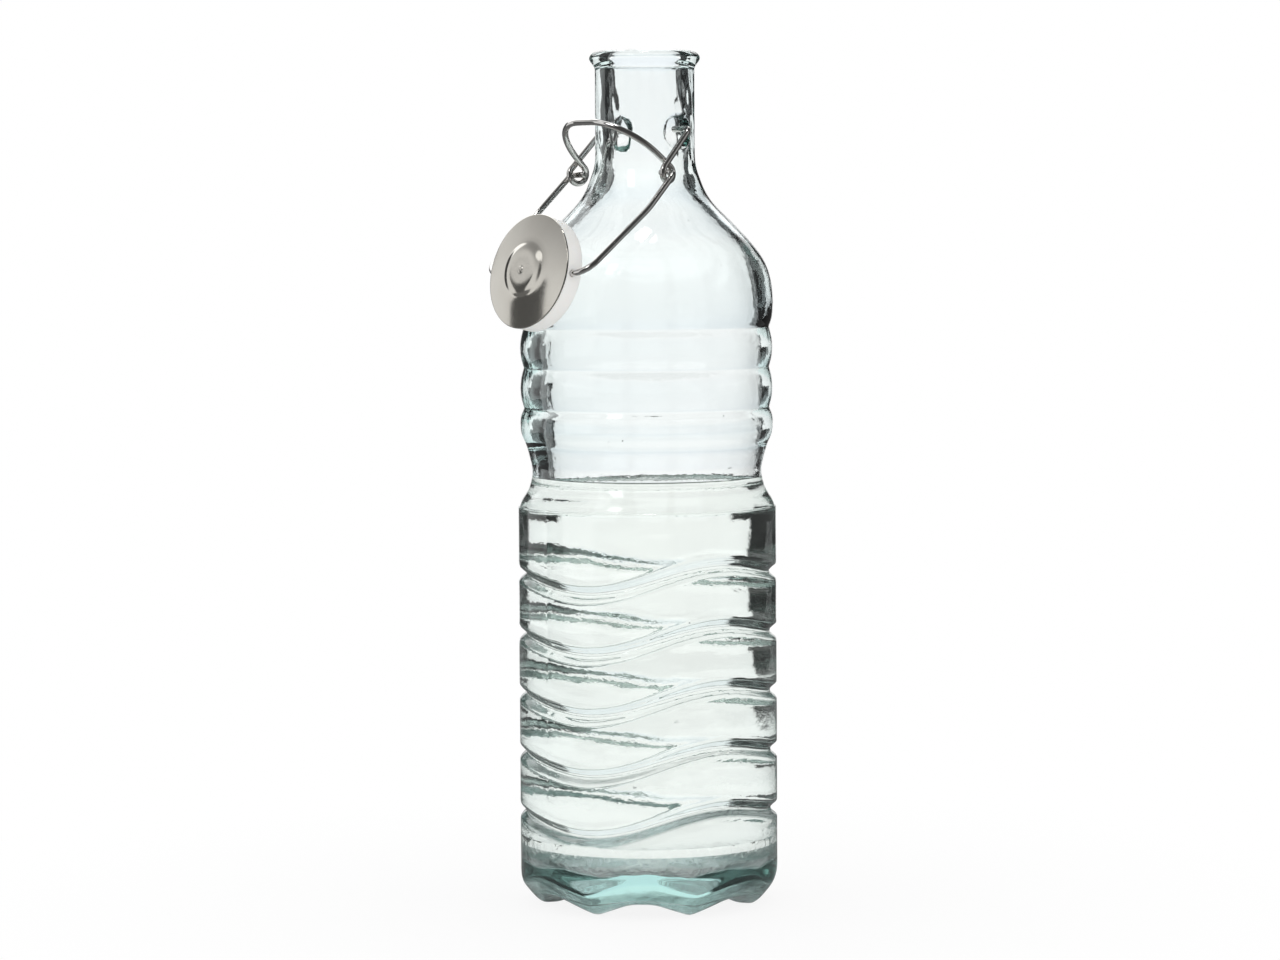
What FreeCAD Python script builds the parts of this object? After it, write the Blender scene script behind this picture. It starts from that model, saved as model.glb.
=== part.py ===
import FreeCAD
import Part
import math
import os

# Swing top bottle, millimetres.
# Origin: centre of the base on the bottle's axis, at the level of its feet.
# +Z up. The closure hinges about X and hangs on the +Y side of the neck.

V = FreeCAD.Vector

# ---- driving dimensions: glass ----
HEIGHT = 307.0            # feet to the top of the lip
BODY_R = 46.57            # lower body
SHOULDER_EDGE_Z = 143.3   # crisp upper edge of the lower body
UPPER_START_R = 46.2      # upper part where it leaves the lower body
WAIST_R = 41.5
WAIST_Z = 156.3
RING_R = 45.6             # bulges of the ringed upper body
RING_GROOVE_R = 44.2
RING_GROOVE_Z = [179.0, 193.5, 207.9]
NECK_R = 17.93
NECK_Z = 270.4            # straight neck starts here
LIP_R = 19.95
LIP_UNDER_Z = 301.2
MOUTH_R = 13.2            # bore of the mouth
MOUTH_BORE_Z = 269.8      # straight bore runs from here up to the lip
MOUTH_ROUND = 2.0
CAVITY_R = 42.0
CAVITY_WAIST_R = 37.8
FLOOR_CENTRE_Z = 15.6       # inside floor, domed up in the middle
FLOOR_EDGE = (34.0, 12.8)

# wave grooves round the lower body
WAVE_GROOVE_Z = [119.6, 98.0, 76.4, 54.9, 33.4]
WAVE_HALF_WIDTH = 3.2
WAVE_DEPTH = 3.0
WAVE_RISE = 4.1           # first harmonic, two periods round
WAVE_RISE_2 = 1.5         # second harmonic
WAVE_PHASE = math.radians(140.9)

# petal base
FOOT_COUNT = 7
FOOT_PHASE = math.radians(160.4)
CENTRE_R = 4.0
CENTRE_Z = 9.2
# section through a foot and through a valley, from the body wall to the centre
FOOT_SECTION = [(46.5, 9.4), (46.2, 8.2), (45.2, 6.6), (42.9, 3.9), (40.0, 0.9), (36.0, -1.2),
                (31.0, 0.2), (24.0, 3.5), (16.0, 6.6), (8.5, 8.7), (CENTRE_R, CENTRE_Z)]
VALLEY_SECTION = [(46.5, 13.4), (46.3, 12.2), (45.5, 10.0), (44.3, 7.6), (42.4, 5.4), (38.0, 4.5),
                  (32.0, 5.3), (25.0, 6.8), (17.0, 8.3), (8.5, 9.2), (CENTRE_R, CENTRE_Z)]
FOOT_SHARE = 0.70          # a foot's share of its sector, the rest is flat valley
FOOT_TIP = 0.12           # softness of a foot's ridge
EDGE_SHARPNESS = 9.0      # of the edge between a foot and its valley

# surface sampling of the lower body
COLUMNS = 84
SIDE_ROWS = 80
BASE_ROWS = 24

# ---- driving dimensions: closure ----
WIRE_R = 1.15
PIVOT_Z = 278.7           # sockets in the neck, and the lever's axis
SOCKET_R = 6.7            # at the surface of the neck
SOCKET_DEPTH = 3.2
PIVOT_END_X = 15.2        # tip of the lever wire, inside the socket
PIVOT_BEND_X = 23.9
EYE = V(24.4, 11.0, PIVOT_Z - 15.6)   # middle of the eye on the +X side
EYE_R = 3.1               # wire centreline
EYE_STEP = 2.5            # the loop moves inward by this much, so the wires pass
BOW_SIDE = V(20.9, 22.2, PIVOT_Z - 2.1)
BOW_FRONT = V(7.5, 28.9, PIVOT_Z + 2.4)
BOW_SIDE_R = 25.0
BOW_FRONT_R = 16.0
CROSS_BAR = V(0, 52.2, PIVOT_Z - 50.8)   # axis of the stopper's cross hole
BAIL_END_X = 20.4         # cut end of each hook, inside the eye
BAIL_HOOK_X = 28.2
BAIL_BELLY = V(29.5, 24.5, PIVOT_Z - 28.3)
BAIL_CORNER_X = 27.1
HOOK_BEND_R = 2.6
BELLY_BEND_R = 40.0
CORNER_BEND_R = 7.0
STOPPER_TILT = 13.4       # outward normal above the horizontal, degrees

# stopper, measured along its axis from the cross hole, outward positive
STOPPER_R = 20.3
UNDERSIDE = -4.4
BODY_TOP = 2.35
STOPPER_ROUND = 0.8
CROSS_HOLE_R = 1.25
STEM_R = 7.5
STEM_RIM_R = 8.6
STEM_RIM = 1.0
GASKET_R = 17.0
GASKET_THICK = 2.0
GASKET_BEVEL = 0.4
PLATE_R = 20.6
PLATE_THICK = 0.7
PLATE_GAP = 0.05
CONE_RISE = 2.0
BOSS_R = 10.2
BOSS_RISE = 1.5
NIPPLE_R = 1.1
NIPPLE_RISE = 0.45


def revolve(points_or_edges):
    """Solid of revolution about Z from a closed outline in the XZ plane."""
    face = Part.Face(Part.Wire(points_or_edges))
    solid = face.revolve(V(0, 0, 0), V(0, 0, 1), 360)
    return solid


def rz(r, z):
    return V(r, 0, z)


def line(a, b):
    return Part.LineSegment(a, b).toShape()


def arc(a, mid, b):
    return Part.Arc(a, mid, b).toShape()


def spline(points):
    """Smooth curve through (r, z) points."""
    curve = Part.BSplineCurve()
    curve.interpolate([rz(*p) for p in points])
    return curve.toShape()


# ---------------------------------------------------------------- glass bottle

def wave_height(angle):
    turn = angle - WAVE_PHASE
    return WAVE_RISE * math.sin(2 * turn) + WAVE_RISE_2 * math.sin(4 * turn)


def side_radius(angle, z):
    """Lower body wall with its wave grooves."""
    radius = BODY_R
    for middle in WAVE_GROOVE_Z:
        across = (z - middle - wave_height(angle)) / WAVE_HALF_WIDTH
        if abs(across) < 1:
            radius -= WAVE_DEPTH * math.cos(0.5 * math.pi * across) ** 2
    return radius


def along(section, t):
    """Point at parameter t (0 to 1) along a section, straight between its points."""
    at = t * (len(section) - 1)
    i = min(int(at), len(section) - 2)
    f = at - i
    (r0, z0), (r1, z1) = section[i], section[i + 1]
    return r0 + f * (r1 - r0), z0 + f * (z1 - z0)


def valley_weight(angle):
    """0 on a foot, 1 in the valley between two feet."""
    away = math.acos(math.cos(FOOT_COUNT * (angle - FOOT_PHASE))) / math.pi
    rise = math.hypot(away / FOOT_SHARE, FOOT_TIP) - FOOT_TIP
    return 1 - math.log1p(math.exp(EDGE_SHARPNESS * (1 - rise))) / EDGE_SHARPNESS


def body_point(angle, row):
    """Pole of the lower body's surface: down the side, then in to the centre."""
    side_end = VALLEY_SECTION[0][1] + 1.2
    if row < SIDE_ROWS:
        z = SHOULDER_EDGE_Z - row * (SHOULDER_EDGE_Z - side_end) / (SIDE_ROWS - 1)
        r = side_radius(angle, z)
    else:
        t = (row - SIDE_ROWS) / (BASE_ROWS - 1)
        w = valley_weight(angle)
        rf, zf = along(FOOT_SECTION, t)
        rv, zv = along(VALLEY_SECTION, t)
        r = rf + w * (rv - rf)
        z = zf + w * (zv - zf)
    return V(r * math.cos(angle), r * math.sin(angle), z)


def lower_body():
    """Wavy wall and petal base as one smooth closed surface, capped flat at both ends."""
    rows = SIDE_ROWS + BASE_ROWS
    poles = [[body_point(2 * math.pi * c / COLUMNS, r) for r in range(rows)] for c in range(COLUMNS)]
    spans = rows - 3
    surface = Part.BSplineSurface()
    surface.buildFromPolesMultsKnots(
        poles,
        [1] * (COLUMNS + 1),
        [4] + [1] * (spans - 1) + [4],
        list(range(COLUMNS + 1)),
        list(range(spans + 1)),
        True, False, 3, 3)
    wall = surface.toShape()
    rims = [e for e in wall.Edges if e.isClosed()]
    caps = [Part.Face(Part.Wire([e])) for e in rims]
    shell = Part.Shell([wall] + caps)
    shell.sewShape()
    return Part.Solid(shell)


def ring_bulges():
    """Outline of the ringed stretch: one arc per bulge, meeting in grooves."""
    edges = []
    for low, high in zip(RING_GROOVE_Z[:-1], RING_GROOVE_Z[1:]):
        middle = rz(RING_R, 0.5 * (low + high))
        edges.append(arc(rz(RING_GROOVE_R, low), middle, rz(RING_GROOVE_R, high)))
    return edges


def upper_body():
    """Waist, rings, shoulder, neck and lip, solid to the axis."""
    root_z = SHOULDER_EDGE_Z - 6.0
    first = RING_GROOVE_Z[0]
    last = RING_GROOVE_Z[-1]
    waist = [(UPPER_START_R, SHOULDER_EDGE_Z + 1.2), (43.2, 149.1), (WAIST_R + 0.05, 154.0),
             (WAIST_R, WAIST_Z), (42.2, 160.6), (43.9, 166.4), (RING_R, 172.4), (RING_GROOVE_R, first)]
    shoulder = [(RING_GROOVE_R, last), (45.6, 212.2), (45.75, 217.8), (44.5, 227.1), (40.0, 235.7),
                (32.3, 244.4), (23.9, 253.1), (19.6, 261.7), (18.3, 266.1), (NECK_R, NECK_Z)]
    lip_widest = rz(LIP_R, HEIGHT - 2.7)
    lip_shoulder = rz(LIP_R - 1.15, HEIGHT - 0.62)
    flat_r = MOUTH_R + MOUTH_ROUND + 1.4
    edges = [
        line(rz(0, root_z), rz(UPPER_START_R, root_z)),
        line(rz(UPPER_START_R, root_z), rz(*waist[0])),
        spline(waist),
        *ring_bulges(),
        spline(shoulder),
        line(rz(NECK_R, NECK_Z), rz(NECK_R, LIP_UNDER_Z - 0.6)),
        arc(rz(NECK_R, LIP_UNDER_Z - 0.6), rz(NECK_R + 0.2, LIP_UNDER_Z + 0.2),
            rz(NECK_R + 0.7, LIP_UNDER_Z + 0.9)),
        arc(rz(NECK_R + 0.7, LIP_UNDER_Z + 0.9), lip_widest, lip_shoulder),
        arc(lip_shoulder, rz(LIP_R - 2.2, HEIGHT - 0.165), rz(flat_r, HEIGHT)),
        line(rz(flat_r, HEIGHT), rz(0, HEIGHT)),
        line(rz(0, HEIGHT), rz(0, root_z)),
    ]
    return revolve(edges)


def cavity():
    """Inside of the bottle, from the thick floor up through the mouth."""
    top = HEIGHT + 5.0
    wall = [(CAVITY_R, 27.8), (CAVITY_R, 139.8)]
    waist = [wall[1], (41.5, 143.3), (39.6, 148.8), (CAVITY_WAIST_R, 155.8), (39.0, 163.8),
             (40.8, 175.8), (41.1, 191.8), (41.1, 209.8), (40.7, 219.8), (38.6, 229.8), (33.2, 238.4),
             (25.4, 246.0), (17.8, 254.4), (14.4, 260.8), (13.5, 265.0), (MOUTH_R, MOUTH_BORE_Z)]
    edges = [
        arc(rz(0, FLOOR_CENTRE_Z), rz(18.0, FLOOR_CENTRE_Z - 0.9), rz(*FLOOR_EDGE)),
        spline([FLOOR_EDGE, (38.6, 14.4), (41.3, 19.4), wall[0]]),
        line(rz(*wall[0]), rz(*wall[1])),
        spline(waist),
        line(rz(MOUTH_R, MOUTH_BORE_Z), rz(MOUTH_R, HEIGHT - MOUTH_ROUND)),
        arc(rz(MOUTH_R, HEIGHT - MOUTH_ROUND),
            rz(MOUTH_R + 0.293 * MOUTH_ROUND, HEIGHT - 0.293 * MOUTH_ROUND),
            rz(MOUTH_R + MOUTH_ROUND, HEIGHT)),
        line(rz(MOUTH_R + MOUTH_ROUND, HEIGHT), rz(MOUTH_R + MOUTH_ROUND, top)),
        line(rz(MOUTH_R + MOUTH_ROUND, top), rz(0, top)),
        line(rz(0, top), rz(0, FLOOR_CENTRE_Z)),
    ]
    return revolve(edges)


def sockets():
    """Two shallow round sockets in the neck that take the ends of the lever."""
    ball_r = (SOCKET_R ** 2 + SOCKET_DEPTH ** 2) / (2 * SOCKET_DEPTH)
    out = NECK_R - SOCKET_DEPTH + ball_r
    return [Part.makeSphere(ball_r, V(side * out, 0, PIVOT_Z)) for side in (-1, 1)]


def glass_bottle():
    outside = lower_body().fuse(upper_body())
    below_feet = Part.makeBox(200, 200, 20, V(-100, -100, -20))
    return outside.cut([cavity(), below_feet] + sockets())


# ---------------------------------------------------------------- wires

def bent_path(points, radii):
    """Straight runs joined by tangent arcs, one radius per inner point."""
    edges = []
    here = points[0]
    for before, corner, after, radius in zip(points[:-2], points[1:-1], points[2:], radii):
        back = (before - corner).normalize()
        ahead = (after - corner).normalize()
        half = 0.5 * back.getAngle(ahead)
        reach = radius / math.tan(half)
        start = corner + back * reach
        end = corner + ahead * reach
        inward = (back + ahead).normalize()
        middle = corner + inward * (radius / math.sin(half) - radius)
        if (start - here).Length > 1e-4:
            edges.append(line(here, start))
        edges.append(arc(start, middle, end))
        here = end
    edges.append(line(here, points[-1]))
    return Part.Wire(edges)


def wire_solid(path):
    """Round wire along a path."""
    first = path.Edges[0]
    start = first.valueAt(first.FirstParameter)
    heading = first.tangentAt(first.FirstParameter)
    section = Part.Wire([Part.makeCircle(WIRE_R, start, heading)])
    return path.makePipeShell([section], True, False)


def mirrored(points):
    """A half route on the +X side, followed by its mirror image."""
    return points + [V(-p.x, p.y, p.z) for p in reversed(points)]


def eye_corners(steps=4):
    """Corners of the loop that the lever wire makes round the bail's hook."""
    arm_y = -EYE.y
    arm_z = PIVOT_Z - EYE.z
    reach = math.hypot(arm_y, arm_z)
    arm_heading = math.atan2(-arm_z, -arm_y) + math.asin(EYE_R / reach)
    bow_heading = math.atan2(BOW_SIDE.z - EYE.z - 1.5, BOW_SIDE.y - EYE.y + 3.0)
    first = arm_heading + 0.5 * math.pi
    turn = 2 * math.pi - (bow_heading - arm_heading)
    slice_angle = turn / steps
    out = EYE_R / math.cos(0.5 * slice_angle)
    corners = []
    for k in range(steps):
        at = first - (k + 0.5) * slice_angle
        x = EYE.x + EYE_STEP * (0.5 - (k + 0.25) / (steps - 0.5))
        corners.append(V(x, EYE.y + out * math.cos(at), EYE.z + out * math.sin(at)))
    return corners


def lever_wire():
    """One wire: socket end, arm, eye, bow, eye, arm, socket end."""
    half = [V(PIVOT_END_X, 0, PIVOT_Z), V(PIVOT_BEND_X, 0, PIVOT_Z), *eye_corners(), BOW_SIDE, BOW_FRONT]
    half_radii = [2.4] + [EYE_R - 0.1] * 4 + [BOW_SIDE_R * 0.9, BOW_FRONT_R * 0.9]
    return wire_solid(bent_path(mirrored(half), half_radii + half_radii[::-1]))


def bail_wire():
    """One wire: hook, side, cross bar through the stopper, side, hook."""
    half = [V(BAIL_END_X, EYE.y, EYE.z), V(BAIL_HOOK_X, EYE.y, EYE.z), BAIL_BELLY,
            V(BAIL_CORNER_X, CROSS_BAR.y, CROSS_BAR.z)]
    half_radii = [HOOK_BEND_R, BELLY_BEND_R, CORNER_BEND_R]
    return wire_solid(bent_path(mirrored(half), half_radii + half_radii[::-1]))


# ---------------------------------------------------------------- stopper

def plate_outline(offset):
    """Upper outline of the stopper's top, from the rim to the centre, raised by offset."""
    base = BODY_TOP + offset
    boss_foot = base + CONE_RISE
    boss_top = boss_foot + BOSS_RISE
    return [(PLATE_R - 0.4, base), (BOSS_R + 1.6, boss_foot - 0.25), (BOSS_R, boss_foot),
            (BOSS_R - 1.8, boss_foot + 0.95), (BOSS_R - 4.2, boss_top), (0, boss_top)]


def outline_edges(points):
    return [line(rz(*a), rz(*b)) for a, b in zip(points[:-1], points[1:])]


def stopper_cap_plate():
    """Thin stamped plate with a conical rim, a raised boss and a small nipple."""
    under = plate_outline(0.0)
    over = plate_outline(PLATE_THICK)
    base = BODY_TOP
    rim = [(PLATE_R - 0.4, base), (PLATE_R, base + 0.1), (PLATE_R, base + PLATE_THICK - 0.1),
           (PLATE_R - 0.4, base + PLATE_THICK)]
    profile = under[::-1] + rim[1:-1] + over
    plate = revolve(outline_edges(profile + profile[:1]))
    top = over[-1][1]
    nipple = Part.makeCone(NIPPLE_R, 0.5 * NIPPLE_R, NIPPLE_RISE + 0.2, V(0, 0, top - 0.2))
    return plate.fuse(nipple)


def stopper_body():
    """White stopper: disc, cross hole for the bail, and a rimmed stem for the gasket."""
    top = plate_outline(-PLATE_GAP)
    gasket_end = UNDERSIDE - GASKET_THICK
    r = STOPPER_R
    b = STOPPER_ROUND
    profile = [
        *top[::-1][:-1],
        (r, BODY_TOP - PLATE_GAP), (r, UNDERSIDE + b), (r - 0.3 * b, UNDERSIDE + 0.3 * b),
        (r - b, UNDERSIDE), (STEM_R, UNDERSIDE), (STEM_R, gasket_end), (STEM_RIM_R, gasket_end),
        (STEM_RIM_R - 0.3, gasket_end - STEM_RIM), (0, gasket_end - STEM_RIM),
    ]
    body = revolve(outline_edges(profile + profile[:1]))
    bore = Part.makeCylinder(CROSS_HOLE_R, 60, V(-30, 0, 0), V(1, 0, 0))
    return body.cut(bore)


def gasket():
    """Flat sealing ring held on the stem."""
    low = UNDERSIDE - GASKET_THICK
    r = GASKET_R
    b = GASKET_BEVEL
    high = low + GASKET_THICK
    profile = [(STEM_R, low), (r - b, low), (r, low + b), (r, high - b), (r - b, high), (STEM_R, high)]
    return revolve(outline_edges(profile + profile[:1]))


def hung(shape):
    """Turn a stopper piece from its own axis to where it hangs on the cross bar."""
    placed = shape.copy()
    placed.rotate(V(0, 0, 0), V(1, 0, 0), -(90 - STOPPER_TILT))
    placed.translate(CROSS_BAR)
    return placed


PARTS = {
    "glass_bottle": glass_bottle(),
    "lever_wire": lever_wire(),
    "bail_wire": bail_wire(),
    "stopper_body": hung(stopper_body()),
    "stopper_cap_plate": hung(stopper_cap_plate()),
    "gasket": hung(gasket()),
}

os.makedirs("parts", exist_ok=True)
for name, shape in PARTS.items():
    solids = shape.Solids
    print(name, "solids", len(solids), "valid", shape.isValid(), "volume", round(shape.Volume, 1))
    if len(solids) == 1:
        shape = solids[0]
    shape.exportStep("parts/" + name + ".step")
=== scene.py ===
import math

import bmesh
import bpy
import numpy as np
from mathutils import Matrix, Vector


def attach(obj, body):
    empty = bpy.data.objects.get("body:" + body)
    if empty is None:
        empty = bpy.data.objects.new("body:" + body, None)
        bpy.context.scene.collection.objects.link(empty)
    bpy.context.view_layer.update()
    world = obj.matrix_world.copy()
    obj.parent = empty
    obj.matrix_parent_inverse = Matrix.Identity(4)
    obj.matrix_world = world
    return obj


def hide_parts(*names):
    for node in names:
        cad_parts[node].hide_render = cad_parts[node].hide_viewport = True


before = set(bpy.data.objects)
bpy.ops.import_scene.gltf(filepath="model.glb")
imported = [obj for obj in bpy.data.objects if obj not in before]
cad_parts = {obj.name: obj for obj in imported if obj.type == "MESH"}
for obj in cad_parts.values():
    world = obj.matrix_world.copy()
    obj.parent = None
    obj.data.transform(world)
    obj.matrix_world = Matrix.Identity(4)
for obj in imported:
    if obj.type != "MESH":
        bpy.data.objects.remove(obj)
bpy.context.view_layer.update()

# Lengths below are in millimetres and become metres in add_mesh().
MM = 0.001
TAU = 2 * math.pi

# ---- glass ----
HEIGHT = 307.0
BODY_R = 46.57
SHOULDER_EDGE_Z = 143.3
WAIST_R = 41.5
WAIST_Z = 156.3
RING_R = 45.6
RING_GROOVE_R = 44.25
RING_GROOVE_Z = [179.0, 193.5, 207.9]
GROOVE_ROUND = 0.17
NECK_R = 17.93
NECK_Z = 270.4
LIP_R = 19.95
LIP_UNDER_Z = 301.2
MOUTH_R = 13.2
MOUTH_ROUND = 2.0
CAVITY_R = 42.0
CAVITY_SHIFT = 1.1        # the blown cavity sits a little off the mould's axis
CAVITY_SHIFT_ANGLE = math.radians(225)

WAVE_GROOVE_Z = [119.6, 98.0, 76.4, 54.9, 33.4]
WAVE_HALF_WIDTH = 3.15
WAVE_DEPTH = 2.7
WAVE_RISE = 4.1
WAVE_RISE_2 = 1.5
WAVE_PHASE = math.radians(140.9)

FOOT_COUNT = 7
FOOT_PHASE = math.radians(160.4)
FOOT_SHARE = 0.70         # a foot's share of its sector, the rest is flat valley
FOOT_TIP = 0.09           # softness of a foot's ridge
EDGE_SHARPNESS = 12.0     # of the edge between a foot and its valley
CENTRE_Z = 9.2
FLOOR_Z = 15.6            # middle of the inside floor
FOOT_SECTION = [(46.5, 9.4), (46.2, 8.2), (45.2, 6.4), (42.9, 3.6), (40.4, 1.1), (38.6, 0.15), (36.0, 0.0),
                (33.6, 0.1), (31.0, 0.8), (24.0, 3.6), (16.0, 6.6), (8.5, 8.7), (4.0, CENTRE_Z)]
VALLEY_SECTION = [(46.5, 13.4), (46.3, 12.2), (45.6, 10.1), (44.3, 7.6), (42.6, 5.6), (40.4, 4.6), (38.0, 4.5),
                  (35.4, 4.8), (32.0, 5.3), (25.0, 6.8), (17.0, 8.3), (8.5, 9.2), (4.0, CENTRE_Z)]

SEAM_ANGLES = [math.radians(88.9), math.radians(268.9)]
SEAM_HEIGHT = 0.11
SEAM_HALF_WIDTH = 0.5

COLUMNS = 164
WATER_Z = 152.3
WATER_OVERLAP = 0.3       # the water's side lies this far inside the glass
MENISCUS_RISE = 1.6
MENISCUS_REACH = 1.3

# ---- closure ----
WIRE_R = 1.15
PIVOT_Z = 278.7
SOCKET_R = 6.2
SOCKET_DEPTH = 3.7
SOCKET_Z = PIVOT_Z - 1.0
PIVOT_END_X = 15.2
PIVOT_BEND_X = 23.9
EYE = Vector((24.4, 11.0, PIVOT_Z - 15.6))
EYE_R = 3.1
EYE_STEP = 2.5
BOW_SIDE = Vector((20.9, 22.2, PIVOT_Z - 2.1))
BOW_FRONT = Vector((7.5, 28.9, PIVOT_Z + 2.4))
CROSS_BAR = Vector((0, 52.2, PIVOT_Z - 50.8))
BAIL_END_X = 20.4
BAIL_HOOK_X = 28.2
BAIL_BELLY = Vector((29.5, 24.5, PIVOT_Z - 28.3))
BAIL_CORNER_X = 27.1
STOPPER_TILT = 13.4
STOPPER_R = 20.3
UNDERSIDE = -4.4
BODY_TOP = 2.35
STEM_R = 7.5
STEM_RIM_R = 8.6
GASKET_R = 17.0
GASKET_THICK = 2.0
PLATE_R = 20.6
PLATE_THICK = 0.7
PLATE_GAP = 0.05          # the plate and the stopper under it stay this far apart
CROSS_HOLE_R = 1.25
BORE_CUT_X = 26           # half the length of the tool that cuts the cross hole
LATHE_COLUMNS = 144
CONE_RISE = 2.0
BOSS_R = 10.2
BOSS_RISE = 1.5

# ---- camera ----
CAMERA_AZIMUTH = math.radians(228.4)
CAMERA_DISTANCE = 1408.0
CAMERA_HEIGHT = 238.3
CAMERA_PITCH = math.radians(3.48)
CAMERA_YAW = math.radians(-0.103)
CAMERA_ROLL = math.radians(0.35)
CAMERA_LENS = 109.69


# ---------------------------------------------------------------- mesh helpers

def add_mesh(name, verts_mm, faces, material, smooth=True):
    mesh = bpy.data.meshes.new(name)
    mesh.from_pydata((np.asarray(verts_mm, float) * MM).tolist(), [], faces)
    mesh.update()
    mesh.materials.append(material)
    if smooth:
        mesh.polygons.foreach_set("use_smooth", [True] * len(mesh.polygons))
    piece = bpy.data.objects.new(name, mesh)
    bpy.context.scene.collection.objects.link(piece)
    return piece


def smooth_curve(points, steps):
    """Natural cubic spline through points, `steps` samples per stretch, ends included."""
    p = np.array(points, float)
    n = len(p) - 1
    h = np.linalg.norm(np.diff(p, axis=0), axis=1)
    system = np.zeros((n + 1, n + 1))
    right = np.zeros_like(p)
    system[0, 0] = system[n, n] = 1
    for i in range(1, n):
        system[i, i - 1] = h[i - 1]
        system[i, i] = 2 * (h[i - 1] + h[i])
        system[i, i + 1] = h[i]
        right[i] = 3 * ((p[i + 1] - p[i]) / h[i] - (p[i] - p[i - 1]) / h[i - 1])
    c = np.linalg.solve(system, right)
    out = []
    for i in range(n):
        b = (p[i + 1] - p[i]) / h[i] - h[i] * (2 * c[i] + c[i + 1]) / 3
        d = (c[i + 1] - c[i]) / (3 * h[i])
        for k in range(steps):
            t = h[i] * k / steps
            out.append(p[i] + b * t + c[i] * t ** 2 + d * t ** 3)
    out.append(p[n])
    return out


def arc_points(centre, radius, start, end, steps):
    """Points on an arc in the (r, z) plane, angles in degrees."""
    out = []
    for k in range(steps + 1):
        a = math.radians(start + (end - start) * k / steps)
        out.append((centre[0] + radius * math.cos(a), centre[1] + radius * math.sin(a)))
    return out


def grid_faces(rows, columns, offset=0, flip=False):
    """Quads between successive rings of `columns` points."""
    faces = []
    for i in range(rows - 1):
        a = offset + i * columns
        b = a + columns
        for j in range(columns):
            k = (j + 1) % columns
            quad = (a + j, a + k, b + k, b + j)
            faces.append(quad[::-1] if flip else quad)
    return faces


# ---------------------------------------------------------------- glass shape

def wave_height(angle):
    turn = angle - WAVE_PHASE
    return WAVE_RISE * np.sin(2 * turn) + WAVE_RISE_2 * np.sin(4 * turn)


def wave_dent(angle, z, half_width):
    """Depth of the wave grooves, 0 to 1."""
    dent = np.zeros_like(angle * z)
    for middle in WAVE_GROOVE_Z:
        across = np.clip((z - middle - wave_height(angle)) / half_width, -1, 1)
        dent = dent + np.cos(0.5 * np.pi * across) ** 2
    return dent


def slow_drift(angle, z):
    """Uneven glass, from a thick blown wall: long soft swells."""
    return (0.30 * np.sin(angle + 1.3 + z / 60)
            + 0.22 * np.sin(2 * angle - 0.7 + z / 35)
            + 0.12 * np.sin(3 * angle + 2.0 - z / 22)
            + 0.07 * np.sin(5 * angle + z / 13))


def ripple(angle, z):
    """Short ripples of the inner surface."""
    return (0.045 * np.sin(7 * angle + z / 7.1 + 1.1 * np.sin(z / 17))
            + 0.038 * np.sin(11 * angle - z / 4.3 + 0.8 * np.sin(3 * angle))
            + 0.028 * np.sin(17 * angle + z / 3.1 + 2.2)
            + 0.018 * np.sin(29 * angle - z / 2.3 + 1.9 * np.sin(z / 11)))


def bore_streaks(angle, z):
    """Drawn-out streaks down the bore, stronger on one side."""
    one_side = 0.35 + 0.65 * (0.5 + 0.5 * np.cos(angle - CAVITY_SHIFT_ANGLE + 0.3)) ** 2
    return one_side * (0.10 * np.sin(9 * angle + z / 6.1) + 0.07 * np.sin(15 * angle - z / 3.7 + 1.3)
                       + 0.05 * np.sin(23 * angle + z / 2.2))


def cavity_shift(angle, amount=1.0):
    return amount * CAVITY_SHIFT * np.cos(angle - CAVITY_SHIFT_ANGLE)


def outer_ripple(angle, z):
    """The faint chill ripples of the moulded outer skin."""
    return (0.020 * np.sin(5 * angle + z / 9.0)
            + 0.012 * np.sin(13 * angle - z / 5.5 + 1.7 * np.sin(z / 23)))


def seam(angle):
    """The mould's two parting lines: low ridges up the side."""
    height = np.zeros_like(angle)
    for middle in SEAM_ANGLES:
        away = np.abs((angle - middle + math.pi) % TAU - math.pi)
        height = height + SEAM_HEIGHT * np.clip(1 - away * BODY_R / SEAM_HALF_WIDTH / 2, 0, 1)
    return height


def column_angles():
    """Even columns, with a few more at the seams."""
    angles = [TAU * k / COLUMNS for k in range(COLUMNS)]
    for middle in SEAM_ANGLES:
        angles += [(middle + d / BODY_R) % TAU for d in (-1.0, 0.0, 1.0)]
    return np.array(sorted(angles))


def valley_weight(angles):
    """0 on a foot's ridge, rising straight to 1 in the flat valley beside it."""
    away = np.arccos(np.clip(np.cos(FOOT_COUNT * (angles - FOOT_PHASE)), -1, 1)) / math.pi
    rise = np.hypot(away / FOOT_SHARE, FOOT_TIP) - FOOT_TIP
    return 1 - np.log1p(np.exp(EDGE_SHARPNESS * (1 - rise))) / EDGE_SHARPNESS


def base_rings(angles):
    """Rings of the petal base, from the centre out to the wall."""
    foot = smooth_curve(FOOT_SECTION[::-1], 3)
    valley = smooth_curve(VALLEY_SECTION[::-1], 3)
    weight = valley_weight(angles)
    rings = []
    for (rf, zf), (rv, zv) in zip(foot, valley):
        r = rf + weight * (rv - rf)
        z = np.maximum(zf + weight * (zv - zf), 0.0)
        rings.append((r, z))
    return rings


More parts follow.
